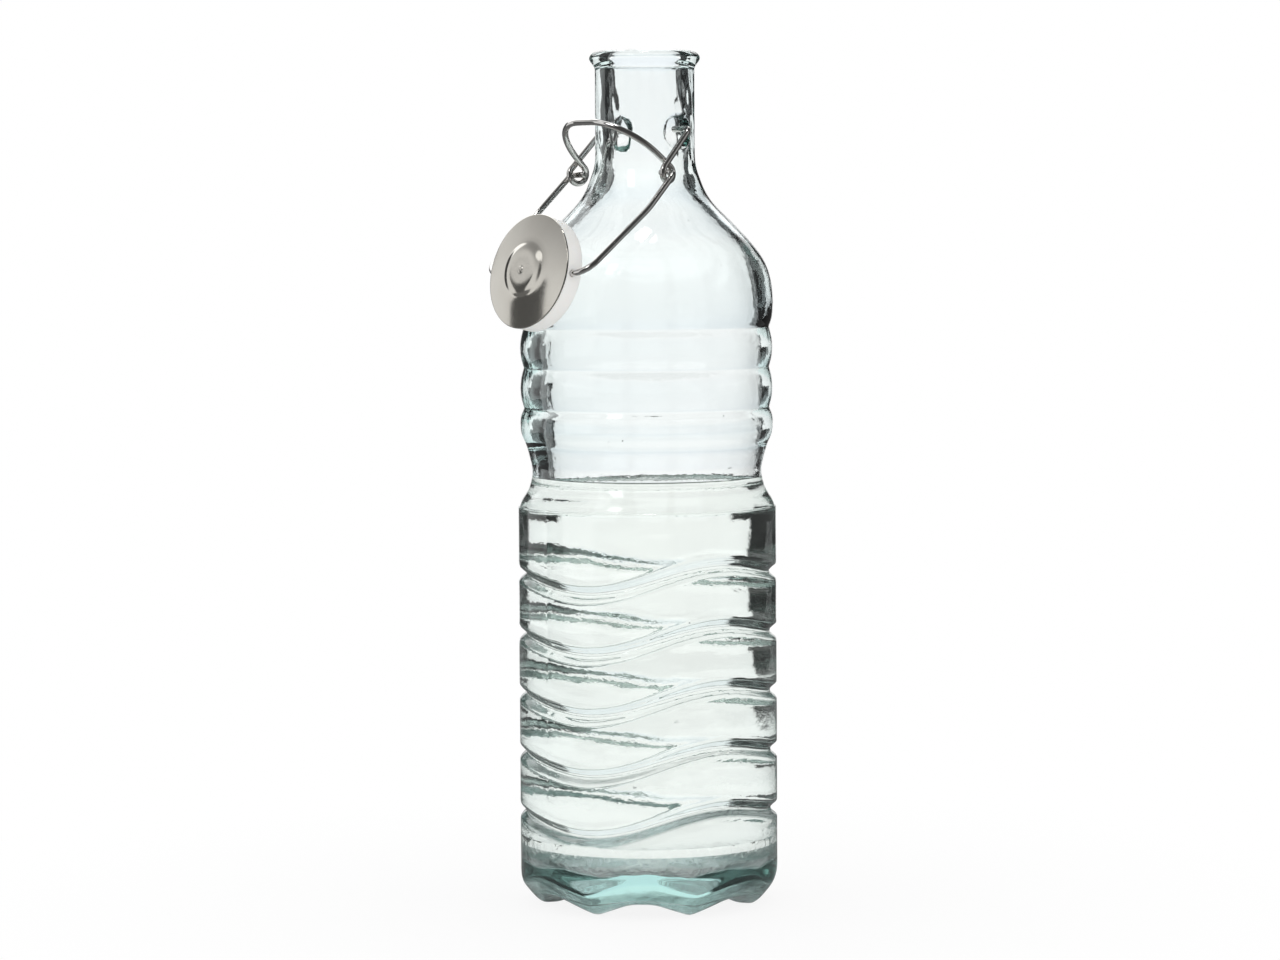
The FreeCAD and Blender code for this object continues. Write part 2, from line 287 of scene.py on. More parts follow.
def side_rings(angles):
    """The wavy lower wall, up to the crisp shoulder edge."""
    rings = []
    low = 9.4 + 4.0 * valley_weight(angles)
    for t in np.linspace(0, 1, 141)[1:]:
        z = low + 0.35 + (SHOULDER_EDGE_Z - 0.85 - low) * t
        r = BODY_R - WAVE_DEPTH * wave_dent(angles, z, WAVE_HALF_WIDTH) + seam(angles)
        r = r + outer_ripple(angles, z) * np.clip((z - 12) / 5, 0, 1)
        rings.append((r, z))
    for r, z in [(46.6, 143.05), (46.5, 143.3), (46.15, 143.45), (46.0, 143.7)]:
        rings.append((r + seam(angles), np.full_like(angles, z)))
    return rings


def ring_bulges():
    """Two full bulges between the three grooves, with close points near each groove."""
    points = []
    for low, high in zip(RING_GROOVE_Z[:-1], RING_GROOVE_Z[1:]):
        span = high - low
        for k in range(14):
            t = 0.5 - 0.5 * math.cos(math.pi * k / 14)
            bulge = (4 * t * (1 - t)) ** 0.95
            points.append((RING_GROOVE_R + (RING_R - RING_GROOVE_R) * bulge, low + span * t))
    return points


def soft_groove(r):
    """Round the sharp bottom of a groove between two rings."""
    return RING_GROOVE_R - 0.08 + math.hypot(r - RING_GROOVE_R, GROOVE_ROUND)


def upper_outline():
    """Waist, rings, shoulder, neck and lip as (r, z), bottom up and over to the bore."""
    first, last = RING_GROOVE_Z[0], RING_GROOVE_Z[-1]
    waist = [(45.95, 144.0), (45.1, 146.0), (43.2, 149.1), (42.1, 152.0), (41.55, 154.8), (WAIST_R, WAIST_Z),
             (41.65, 158.3), (42.2, 160.6), (43.9, 166.4), (45.1, 169.2), (RING_R + 0.05, 172.6),
             (45.4, 176.4), (RING_GROOVE_R, first)]
    shoulder = [(RING_GROOVE_R, last), (45.05, 209.8), (45.65, 212.8), (45.8, 217.7), (44.5, 227.1),
                (42.7, 231.6), (40.0, 235.7), (36.5, 239.9), (32.4, 244.3), (28.1, 248.6), (24.2, 252.8),
                (21.4, 257.2), (19.6, 261.7), (18.3, 266.1), (NECK_R, NECK_Z)]
    body = smooth_curve(waist, 4)[:-1] + ring_bulges() + smooth_curve(shoulder, 4)[:-1]
    body = [(soft_groove(r) if 172 < z < 216 else r, z) for r, z in body]
    neck = [(NECK_R, z) for z in np.arange(NECK_Z, LIP_UNDER_Z - 1.0, 0.85)]
    lip = smooth_curve([(NECK_R, HEIGHT - 6.5), (18.2, HEIGHT - 5.6), (18.8, HEIGHT - 4.75), (19.55, HEIGHT - 3.7),
                        (LIP_R, HEIGHT - 2.7), (19.65, HEIGHT - 1.6), (18.9, HEIGHT - 0.75), (17.8, HEIGHT - 0.22),
                        (16.6, HEIGHT), (15.9, HEIGHT)], 3)
    lip += arc_points((MOUTH_R + MOUTH_ROUND, HEIGHT - MOUTH_ROUND - 0.05), MOUTH_ROUND, 95, 180, 5)
    return body + neck + lip


def socket_dent(r, angle, z):
    """Radius on the neck with the two steep-walled round sockets pressed in along X."""
    side = np.arcsin(np.clip(np.sin(angle), -1, 1)) * NECK_R
    out = np.hypot(side, z - SOCKET_Z) / SOCKET_R
    bowl = np.sqrt(np.clip(1 - out ** 2, 0, 1))
    rim = 0.22 * np.exp(-((out - 1.06) / 0.10) ** 2)
    return r - SOCKET_DEPTH * bowl + rim


def upper_rings(angles):
    rings = []
    for r, z in upper_outline():
        radius = np.full_like(angles, r)
        height = np.full_like(angles, z)
        if SHOULDER_EDGE_Z + 1 < z < 264:
            radius = radius + 0.3 * outer_ripple(angles, height) + 0.12 * seam(angles)
        if abs(z - SOCKET_Z) < SOCKET_R + 2 and r > MOUTH_R + 3:
            radius = socket_dent(radius, angles, height)
        rings.append((radius, height))
    return rings


INNER_OUTLINE = [(MOUTH_R, 267.8), (13.4, 263.8), (14.2, 260.0), (17.2, 254.4), (24.6, 246.0), (32.2, 238.2),
                 (37.4, 229.8), (39.4, 219.8), (39.8, 209.8), (39.8, 191.8), (39.8, 175.8), (38.7, 164.8),
                 (37.8, 156.3), (39.3, 148.8), (41.7, 142.8), (CAVITY_R, 133.8)]


def inner_radius(angles, z):
    """Straight lower cavity: the waves come through the wall softened."""
    return CAVITY_R - 0.9 * wave_dent(angles, z, 1.9 * WAVE_HALF_WIDTH)


def inner_rings(angles):
    """Inside wall, from the bore down to the centre of the floor."""
    rings = []
    for z in np.arange(HEIGHT - MOUTH_ROUND - 1.0, 268.8, -1.6):
        grow = min(1.0, (HEIGHT - MOUTH_ROUND - z) / 12)
        wander = 0.35 * slow_drift(angles, z) + bore_streaks(angles, z) + cavity_shift(angles, 0.3)
        rings.append((MOUTH_R + grow * wander, np.full_like(angles, z)))
    outline = smooth_curve(INNER_OUTLINE, 5)
    for r, z in outline[:-1]:
        shift = cavity_shift(angles, np.interp(z, [134, 165, 210, 230, 262], [0.5, 1.0, 1.0, 0.1, 0.3]))
        calm = np.interp(z, [140, 160, 255, 268], [1.0, 0.10, 0.10, 1.0])
        wander = 0.5 * slow_drift(angles, z) + calm * ripple(angles, z) + shift
        rings.append((r + wander, np.full_like(angles, z)))
    for z in np.linspace(133.8, 28.8, 58):
        r = inner_radius(angles, z) + 0.8 * slow_drift(angles, z) + ripple(angles, z) + cavity_shift(angles, 0.5)
        rings.append((r, np.full_like(angles, z)))
    floor = smooth_curve([(CAVITY_R, 26.8), (41.7, 21.6), (40.0, 17.4), (36.0, 14.9), (28.0, 14.2),
                          (17.0, 14.8), (9.0, 15.4), (2.5, FLOOR_Z)], 4)
    for r, z in floor:
        fade = min(1, r / 30)
        star = min(1, r / 20) * np.clip((41 - r) / 8, 0, 1)
        lift = star * (1.7 * (valley_weight(angles) - 0.5) + 0.22 * np.sin(22 * angles + r / 3))
        wander = 0.8 * slow_drift(angles, z) + ripple(angles, z) + cavity_shift(angles, 0.5)
        rings.append((r + fade * wander, z + lift))
    return rings


def ring_points(rings, angles):
    c, s = np.cos(angles), np.sin(angles)
    return np.concatenate([np.stack([r * c, r * s, z + 0 * c], 1) for r, z in rings])


def capped(rings, angles, first_z, last_z):
    """Vertices and faces of a surface of rings closed by a point at each end."""
    n = len(angles)
    points = ring_points(rings, angles)
    verts = np.concatenate([points, [[0, 0, first_z], [0, 0, last_z]]])
    faces = grid_faces(len(rings), n)
    first, last = len(points), len(points) + 1
    end = (len(rings) - 1) * n
    faces += [(first, (j + 1) % n, j) for j in range(n)]
    faces += [(last, end + j, end + (j + 1) % n) for j in range(n)]
    return verts, faces


BUBBLE_Z = [143, 149, 156, 167, 173, 218, 232, 244, 253, 264]
BUBBLE_OUTER = [46.3, 43.2, 41.5, 43.9, 44.3, 44.3, 41.6, 32.2, 23.8, 18.4]


def bubbles(count, seed):
    """Seed bubbles in the glass wall: tiny inward-facing shells."""
    rng = np.random.default_rng(seed)
    verts, faces = [], []
    for _ in range(count):
        angle = rng.uniform(0, TAU)
        z = rng.uniform(32, 264)
        outer = np.interp(z, BUBBLE_Z, BUBBLE_OUTER)
        if z < SHOULDER_EDGE_Z:
            outer = BODY_R - WAVE_DEPTH * float(wave_dent(angle, np.array(z), WAVE_HALF_WIDTH))
        wall = outer - 1.0
        radius = rng.uniform(0.15, 0.38)
        ball = bmesh.new()
        bmesh.ops.create_icosphere(ball, subdivisions=2, radius=radius)
        middle = np.array([wall * math.cos(angle), wall * math.sin(angle), z])
        start = sum(len(v) for v in verts)
        verts.append(np.array([v.co for v in ball.verts]) * [1, 1, rng.uniform(1, 1.8)] + middle)
        faces += [tuple(start + v.index for v in f.verts)[::-1] for f in ball.faces]
        ball.free()
    return np.concatenate(verts), faces


def bottle_glass(material):
    angles = column_angles()
    rings = base_rings(angles) + side_rings(angles) + upper_rings(angles) + inner_rings(angles)
    verts, faces = capped(rings, angles, CENTRE_Z, FLOOR_Z)
    extra, extra_faces = bubbles(26, 11)
    faces += [tuple(len(verts) + i for i in f) for f in extra_faces]
    piece = add_mesh("bottle_glass", np.concatenate([verts, extra]), faces, material)
    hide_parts("glass_bottle")
    return piece


def water_fill(material):
    """The water: its side lies just inside the glass, its top is flat with a meniscus."""
    angles = column_angles()
    wet = [(r + WATER_OVERLAP, z - (WATER_OVERLAP if r.mean() < 40 else 0))
           for r, z in inner_rings(angles) if z.max() < WATER_Z - 0.5]
    wall = float(np.mean(wet[0][0]))
    rise = []
    for d in (0.0, 0.3, 0.5, 0.8, 1.2, 1.7, 2.4, 3.3, 4.5):
        lift = MENISCUS_RISE * math.exp(-max(0, d - WATER_OVERLAP) / MENISCUS_REACH)
        rise.append((wet[0][0] - d, WATER_Z + lift + 0 * angles))
    flat = [(wet[0][0] * (1 - inset / wall), WATER_Z + 0 * angles) for inset in (6.5, 10, 16, 24, 32)]
    rings = wet[::-1] + rise + flat
    verts, faces = capped(rings, angles, FLOOR_Z - WATER_OVERLAP, WATER_Z)
    return add_mesh("water_fill", verts, faces, material)


# ---------------------------------------------------------------- wires

def bent_route(points, radii, step=0.25):
    """Straight runs joined by tangent arcs, sampled finely."""
    route = [points[0]]
    for before, corner, after, radius in zip(points[:-2], points[1:-1], points[2:], radii):
        back = (before - corner).normalized()
        ahead = (after - corner).normalized()
        half = 0.5 * back.angle(ahead)
        reach = radius / math.tan(half)
        start = corner + back * reach
        centre = corner + (back + ahead).normalized() * (radius / math.sin(half))
        a = start - centre
        axis = a.cross(corner + ahead * reach - centre).normalized()
        turn = math.pi - 2 * half
        steps = max(6, int(turn * radius / step / 2))
        for k in range(steps + 1):
            route.append(centre + Matrix.Rotation(turn * k / steps, 3, axis) @ a)
    route.append(points[-1])
    return route


def even_route(route, spacing):
    """The same route with evenly spaced points."""
    p = np.array([list(v) for v in route])
    gaps = np.linalg.norm(np.diff(p, axis=0), axis=1)
    p = p[np.concatenate([[True], gaps > 1e-6])]
    run = np.concatenate([[0], np.cumsum(np.linalg.norm(np.diff(p, axis=0), axis=1))])
    at = np.linspace(0, run[-1], int(run[-1] / spacing) + 1)
    return np.stack([np.interp(at, run, p[:, k]) for k in range(3)], 1)


def wire(name, route, material, sides=20, spacing=0.45):
    """Round wire with bevelled cut ends along a route."""
    p = even_route(route, spacing)
    tangents = np.gradient(p, axis=0)
    tangents /= np.linalg.norm(tangents, axis=1)[:, None]
    normal = np.cross(tangents[0], [0.3, 0.2, 1.0])
    rings = []
    for centre, tangent in zip(p, tangents):
        normal = normal - tangent * (normal @ tangent)
        normal /= np.linalg.norm(normal)
        other = np.cross(tangent, normal)
        rings.append((centre, normal.copy(), other))
    bevel = [(0.0, 0.55), (0.12, 0.82), (0.32, 0.96)]
    sections = []
    for depth, size in bevel:
        sections.append((rings[0][0] + tangents[0] * depth, rings[0][1], rings[0][2], size))
    sections += [(c, n, o, 1.0) for c, n, o in rings[1:-1]]
    for depth, size in bevel[::-1]:
        sections.append((rings[-1][0] - tangents[-1] * depth, rings[-1][1], rings[-1][2], size))
    turns = np.arange(sides) * TAU / sides
    verts = [c + WIRE_R * size * (math.cos(a) * n + math.sin(a) * o) for c, n, o, size in sections for a in turns]
    faces = grid_faces(len(sections), sides)
    end = (len(sections) - 1) * sides
    faces.append(tuple(range(sides))[::-1])
    faces.append(tuple(end + j for j in range(sides)))
    return add_mesh(name, verts, faces, material)


def mirrored(points):
    return points + [Vector((-p.x, p.y, p.z)) for p in reversed(points)]


def eye_corners(steps=4):
    """Corners of the loop that the lever wire makes round the bail's hook."""
    arm_y = -EYE.y
    arm_z = PIVOT_Z - EYE.z
    reach = math.hypot(arm_y, arm_z)
    arm_heading = math.atan2(-arm_z, -arm_y) + math.asin(EYE_R / reach)
    bow_heading = math.atan2(BOW_SIDE.z - EYE.z - 1.5, BOW_SIDE.y - EYE.y + 3.0)
    first = arm_heading + 0.5 * math.pi
    slice_angle = (TAU - (bow_heading - arm_heading)) / steps
    out = EYE_R / math.cos(0.5 * slice_angle)
    corners = []
    for k in range(steps):
        at = first - (k + 0.5) * slice_angle
        x = EYE.x + EYE_STEP * (0.5 - (k + 0.25) / (steps - 0.5))
        corners.append(Vector((x, EYE.y + out * math.cos(at), EYE.z + out * math.sin(at))))
    return corners


def lever_wire(material):
    half = [Vector((PIVOT_END_X, 0, PIVOT_Z)), Vector((PIVOT_BEND_X, 0, PIVOT_Z)), *eye_corners(), BOW_SIDE, BOW_FRONT]
    radii = [2.4] + [EYE_R - 0.1] * 4 + [22.5, 14.4]
    piece = wire("lever_wire_drawn", bent_route(mirrored(half), radii + radii[::-1]), material)
    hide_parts("lever_wire")
    return piece


def bail_wire(material):
    half = [Vector((BAIL_END_X, EYE.y, EYE.z)), Vector((BAIL_HOOK_X, EYE.y, EYE.z)), BAIL_BELLY,
            Vector((BAIL_CORNER_X, CROSS_BAR.y, CROSS_BAR.z))]
    radii = [2.6, 40.0, 7.0]
    piece = wire("bail_wire_drawn", bent_route(mirrored(half), radii + radii[::-1]), material)
    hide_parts("bail_wire")
    return piece


# ---------------------------------------------------------------- stopper

def hang(piece):
    """Turn a stopper piece from its own axis to where it hangs on the cross bar."""
    turn = Matrix.Rotation(-math.radians(90 - STOPPER_TILT), 4, "X")
    piece.data.transform(Matrix.Translation(CROSS_BAR * MM) @ turn)
    return piece


def lathe(name, outline, material, columns=LATHE_COLUMNS):
    """Turned solid from an outline that starts and ends on the axis, from the bottom out and up."""
    angles = np.arange(columns) * TAU / columns
    rings = [(np.full(columns, r), np.full(columns, z)) for r, z in outline[1:-1]]
    verts, faces = capped(rings, angles, outline[0][1], outline[-1][1])
    return add_mesh(name, verts, faces, material)


def rounded(points, radius, steps=5):
    """Outline with each inner corner rounded."""
    out = [points[0]]
    for a, b, c in zip(points[:-2], points[1:-1], points[2:]):
        a, b, c = np.array(a), np.array(b), np.array(c)
        cut = min(radius, 0.45 * np.linalg.norm(a - b), 0.45 * np.linalg.norm(c - b))
        start = b + (a - b) / np.linalg.norm(a - b) * cut
        end = b + (c - b) / np.linalg.norm(c - b) * cut
        for k in range(steps + 1):
            t = k / steps
            out.append(tuple((1 - t) ** 2 * start + 2 * t * (1 - t) * b + t ** 2 * end))
    out.append(points[-1])
    return out


def plate_top(offset):
    """Top of the stopper from the rim in to the axis: domed ring, then the boss with its soft shoulder."""
    base = BODY_TOP + offset
    foot = base + CONE_RISE
    outer, inner = PLATE_R - 0.35, BOSS_R + 1.45
    points = [(outer, base)]
    for k in range(1, 13):
        r = outer - k / 12 * (PLATE_R - BOSS_R - 1.8)
        points.append((r, base + (CONE_RISE - 0.2) * (outer ** 2 - r ** 2) / (outer ** 2 - inner ** 2)))
    boss = [(BOSS_R + 0.9, foot - 0.08), (BOSS_R, foot + 0.14), (BOSS_R - 1.0, foot + 0.60),
            (BOSS_R - 2.0, foot + 1.06), (BOSS_R - 3.0, foot + 1.36), (BOSS_R - 4.2, foot + 1.48),
            (BOSS_R - 6.5, foot + BOSS_RISE), (1.6, foot + BOSS_RISE)]
    return points + smooth_curve(boss, 4)


def cap_plate(material):
    under = plate_top(0.0)
    over = plate_top(PLATE_THICK)
    nipple_z = over[-1][1]
    nipple = [(1.15, nipple_z + 0.02), (0.95, nipple_z + 0.22), (0.6, nipple_z + 0.38), (0.25, nipple_z + 0.44)]
    base = BODY_TOP
    rim = [(PLATE_R - 0.12, base + 0.06), (PLATE_R, base + 0.25), (PLATE_R, base + PLATE_THICK - 0.25),
           (PLATE_R - 0.12, base + PLATE_THICK - 0.06)]
    outline = [(0, under[-1][1])] + under[::-1] + rim + over + nipple + [(0, nipple_z + 0.45)]
    piece = hang(lathe("cap_plate_stamped", outline, material))
    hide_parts("stopper_cap_plate")
    return piece


def stopper(material):
    top = plate_top(-PLATE_GAP)
    top_z = BODY_TOP - PLATE_GAP
    gasket_end = UNDERSIDE - GASKET_THICK
    outer = [(STEM_R, UNDERSIDE), (STOPPER_R, UNDERSIDE), (STOPPER_R, top_z), (PLATE_R - 0.9, top_z)]
    stem = rounded([(0, gasket_end - 1.0), (STEM_RIM_R - 0.2, gasket_end - 1.0), (STEM_RIM_R, gasket_end),
                    (STEM_R, gasket_end), (STEM_R, UNDERSIDE)], 0.3, 3)
    outline = stem + rounded(outer, 0.7, 6)[1:] + top[1:] + [(0, top[-1][1])]
    piece = lathe("stopper_moulded", outline, material)
    cutter_verts = []
    columns = 48
    for x in (-BORE_CUT_X, BORE_CUT_X):
        for k in range(columns):
            a = TAU * k / columns
            cutter_verts.append((x, CROSS_HOLE_R * math.cos(a), CROSS_HOLE_R * math.sin(a)))
    cutter_faces = grid_faces(2, columns) + [tuple(range(columns))[::-1], tuple(columns + k for k in range(columns))]
    cutter = add_mesh("bore_cutter", cutter_verts, cutter_faces, material)
    fix = bmesh.new()
    fix.from_mesh(cutter.data)
    bmesh.ops.recalc_face_normals(fix, faces=fix.faces)
    fix.to_mesh(cutter.data)
    fix.free()
    cut = piece.modifiers.new("bore", "BOOLEAN")
    cut.operation = "DIFFERENCE"
    cut.object = cutter
    cut.solver = "EXACT"
    bpy.context.view_layer.objects.active = piece
    bpy.ops.object.modifier_apply(modifier=cut.name)
    bpy.data.objects.remove(cutter)
    piece.data.set_sharp_from_angle(angle=math.radians(35))
    hang(piece)
    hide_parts("stopper_body")
    return piece


def seal_ring(material):
    low = UNDERSIDE - GASKET_THICK
    columns = LATHE_COLUMNS
    bore = STEM_R + 0.02
    section = rounded([(bore, low + 1.0), (bore, low), (GASKET_R, low), (GASKET_R, UNDERSIDE),
                       (bore, UNDERSIDE), (bore, low + 1.0)], 0.45, 4)[:-1]
    angles = np.arange(columns) * TAU / columns
    rings = [(np.full(columns, r), np.full(columns, z)) for r, z in section]
    verts = ring_points(rings, angles)
    faces = grid_faces(len(rings), columns)
    end = (len(rings) - 1) * columns
    faces += [(end + j, end + (j + 1) % columns, (j + 1) % columns, j) for j in range(columns)]
    piece = hang(add_mesh("seal_ring_moulded", verts, faces, material))
    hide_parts("gasket")
    return piece


# ---------------------------------------------------------------- materials

def new_material(name):
    material = bpy.data.materials.new(name)
    material.use_nodes = True
    nodes = material.node_tree.nodes
    nodes.clear()
    output = nodes.new("ShaderNodeOutputMaterial")
    shader = nodes.new("ShaderNodeBsdfPrincipled")
    material.node_tree.links.new(shader.outputs[0], output.inputs["Surface"])
    return material, shader, output


def node(material, kind, links=(), **values):
    """Add a node, set its inputs by name or number, and link inputs from other nodes' outputs."""
    made = material.node_tree.nodes.new(kind)
    for key, value in values.items():
        setattr(made, key, value)
    for socket, source in links:
        material.node_tree.links.new(source, made.inputs[socket])
    return made


def noise(material, place, scale, detail=3.0, stretch=(1, 1, 1)):
    mapping = node(material, "ShaderNodeMapping", [("Vector", place)])
    mapping.inputs["Scale"].default_value = stretch
    made = node(material, "ShaderNodeTexNoise", [("Vector", mapping.outputs[0])])
    made.inputs["Scale"].default_value = scale
    made.inputs["Detail"].default_value = detail
    return made.outputs[0]


def ramp(material, source, low, high, from_min=0.3, from_max=0.7):
    made = node(material, "ShaderNodeMapRange", [("Value", source)])
    made.inputs["From Min"].default_value = from_min
    made.inputs["From Max"].default_value = from_max
    made.inputs["To Min"].default_value = low
    made.inputs["To Max"].default_value = high
    return made.outputs[0]


def bump(material, shader, height, distance, strength=1.0):
    made = node(material, "ShaderNodeBump", [("Height", height)])
    made.inputs["Distance"].default_value = distance
    made.inputs["Strength"].default_value = strength
    material.node_tree.links.new(made.outputs[0], shader.inputs["Normal"])


def object_place(material):
    return node(material, "ShaderNodeTexCoord").outputs["Object"]


def two_tone(material, shader, cloud, low, high):
    """Base colour that wanders between two tones with a noise."""
    colour = node(material, "ShaderNodeMix", [("Factor", cloud)], data_type="RGBA")
    colour.inputs["A"].default_value = low
    colour.inputs["B"].default_value = high
    material.node_tree.links.new(colour.outputs["Result"], shader.inputs["Base Color"])


def see_through(material, shader, output, ior, tint, density):
    """Clear body with a colour that deepens with thickness."""
    shader.inputs["Base Color"].default_value = (1, 1, 1, 1)
    shader.inputs["Transmission Weight"].default_value = 1.0
    shader.inputs["IOR"].default_value = ior
    absorb = node(material, "ShaderNodeVolumeAbsorption")
    absorb.inputs["Color"].default_value = tint
    absorb.inputs["Density"].default_value = density
    material.node_tree.links.new(absorb.outputs[0], output.inputs["Volume"])


def glass_material():
    """Glass: seen from outside only its swell shows; the inside wall is wrinkled and the heel ragged."""
    material, shader, output = new_material("recycled_glass")
    see_through(material, shader, output, 1.52, (0.22, 0.76, 0.69, 1), 9.0)
    place = object_place(material)
    haze = noise(material, place, 260, 4)
    swell = noise(material, place, 55, 2, (1, 1, 0.45))
    wrinkle = noise(material, place, 300, 3, (1, 1, 1.6))
    parts = node(material, "ShaderNodeSeparateXYZ", [(0, place)])
    flat = node(material, "ShaderNodeCombineXYZ", [(0, parts.outputs["X"]), (1, parts.outputs["Y"])])
    radius = node(material, "ShaderNodeVectorMath", [(0, flat.outputs[0])], operation="LENGTH").outputs["Value"]
    inside = ramp(material, radius, 1.0, 0.0, 0.0430, 0.0434)
    uneven = node(material, "ShaderNodeMath", [(0, wrinkle), (1, inside)], operation="MULTIPLY")
    height = node(material, "ShaderNodeMath", [(0, uneven.outputs[0]), (2, swell)], operation="MULTIPLY_ADD")
    height.inputs[1].default_value = 0.28
    crackle = noise(material, place, 520, 4, (1, 1, 0.5))
    heel = ramp(material, parts.outputs["Z"], 1.0, 0.0, 0.0215, 0.0245)
    heel = node(material, "ShaderNodeMath", [(0, heel), (1, inside)], operation="MULTIPLY").outputs[0]
    under = ramp(material, parts.outputs["Z"], 1.0, 0.0, 0.0115, 0.0140)
    stipple = node(material, "ShaderNodeMath", [(0, ramp(material, crackle, 0.04, 0.17)), (1, under)],
                   operation="MULTIPLY").outputs[0]
    rough = node(material, "ShaderNodeMath", [(0, ramp(material, haze, 0.0, 0.012, 0.5, 0.9)), (1, stipple)],
                 operation="ADD").outputs[0]
    material.node_tree.links.new(rough, shader.inputs["Roughness"])
    turn = node(material, "ShaderNodeMath", [(0, parts.outputs["Y"]), (1, parts.outputs["X"])], operation="ARCTAN2")
    fan = node(material, "ShaderNodeCombineXYZ", [(0, turn.outputs[0]), (1, radius)])
    rays = noise(material, fan.outputs[0], 3.2, 3, (1, 9, 1))
    streaks = node(material, "ShaderNodeMath", [(0, rays), (2, crackle)], operation="MULTIPLY_ADD")
    streaks.inputs[1].default_value = 2.4
    ragged = node(material, "ShaderNodeMath", [(0, streaks.outputs[0]), (1, heel)], operation="MULTIPLY").outputs[0]
    height = node(material, "ShaderNodeMath", [(0, ragged), (2, height.outputs[0])], operation="MULTIPLY_ADD")
    height.inputs[1].default_value = 3.0
    bump(material, shader, height.outputs[0], 0.00022, 0.6)
    return material


def water_material():
    material, shader, output = new_material("clear_water")
    see_through(material, shader, output, 1.333, (0.70, 0.90, 0.40, 1), 0.8)
    shader.inputs["Roughness"].default_value = 0.0
    return material


def wire_material():
    material, shader, _ = new_material("drawn_steel_wire")
    shader.inputs["Metallic"].default_value = 1.0
    place = object_place(material)
    streak = noise(material, place, 900, 3)
    cloud = noise(material, place, 120, 3)
    two_tone(material, shader, cloud, (0.60, 0.585, 0.565, 1), (0.78, 0.77, 0.755, 1))
    material.node_tree.links.new(ramp(material, streak, 0.05, 0.10), shader.inputs["Roughness"])
    bump(material, shader, streak, 0.00001, 0.4)
    return material


def cap_material():
    material, shader, _ = new_material("satin_cap_steel")
    shader.inputs["Metallic"].default_value = 1.0
    place = object_place(material)
    fine = noise(material, place, 1400, 3)
    cloud = noise(material, place, 90, 4)
    two_tone(material, shader, cloud, (0.60, 0.575, 0.52, 1), (0.70, 0.68, 0.63, 1))
    material.node_tree.links.new(ramp(material, fine, 0.09, 0.15), shader.inputs["Roughness"])
    bump(material, shader, fine, 0.00001, 0.35)
    return material


def stopper_material():
    material, shader, _ = new_material("white_stopper_plastic")
    place = object_place(material)
    cloud = noise(material, place, 60, 3)
    two_tone(material, shader, cloud, (0.86, 0.85, 0.82, 1), (0.93, 0.925, 0.90, 1))
    fine = noise(material, place, 500, 3)
    material.node_tree.links.new(ramp(material, fine, 0.30, 0.42), shader.inputs["Roughness"])
    shader.inputs["Subsurface Weight"].default_value = 0.25
    shader.inputs["Subsurface Radius"].default_value = (0.004, 0.0035, 0.003)
    shader.inputs["Subsurface Scale"].default_value = 0.5
    bump(material, shader, fine, 0.00003, 0.4)
    return material


def seal_material():
    material, shader, _ = new_material("pale_seal_rubber")
    place = object_place(material)
    cloud = noise(material, place, 80, 3)
    two_tone(material, shader, cloud, (0.74, 0.71, 0.65, 1), (0.82, 0.80, 0.74, 1))
    fine = noise(material, place, 700, 4)
    material.node_tree.links.new(ramp(material, fine, 0.5, 0.7), shader.inputs["Roughness"])
    bump(material, shader, fine, 0.00005, 0.5)
    return material


# ---------------------------------------------------------------- studio

BACK_AZIMUTH = math.atan2(-math.cos(CAMERA_AZIMUTH), math.sin(CAMERA_AZIMUTH)) + math.pi
# Bearings are degrees from the middle of the backdrop, positive to the camera's left.
# Dark flags stand in these sectors and give the glass its dark edges.
FLAGS = [(27, 120), (148, 164), (-164, -151), (-124, -39)]
HIGH_FLAGS = [(19, 32), (-45, -20)]     # narrower opening above the table's level
LEVEL = -0.060
FRONT = 100               # beyond this bearing only the straight view through the glass is bright
FLAG_DARK = 0.02
BACKDROP = 1.12
TURNED_DARK = 0.80
FLAG_SOFT = 3.0
SKY_COLOUR = (0.875, 0.91, 0.94, 1)    # the backdrop pales to a cooler tone above the horizon
ROOM_GLOW = 0.06          # what metal and glass mirror from the room behind the camera
SOFT_GLOW = 1.0           # soft light on the white plastic
TABLE_MIRRORED = 0.16
THROUGH_TABLE = 1.03      # the table seen through the glass, as BACKDROP is for the backdrop
MIRRORED_BACKDROP = 0.85  # strengths of what metal and glass mirror
SOFT_BOX = 0.82
BOX_PATCH = 0.05          # share of the box left in the dark patch that the cap plate mirrors
SIDE_STRIP = 0.35
HIGH_PANEL = 1.5
FRONT_PANEL = 5.0
BOSS_PANEL = 0.9
TOP_MIRRORED = 0.55       # the dark top's share for light that has mirrored inside the glass
TURNED_HIGH = 0.35        # turned_back's share for light that leaves upward
OVERHEAD_TOWARD = 0.10    # the ceiling light, as slopes off the vertical
OVERHEAD_ALONG = 0.065
OVERHEAD_ACROSS = 0.14
OVERHEAD_POWER = 22.0


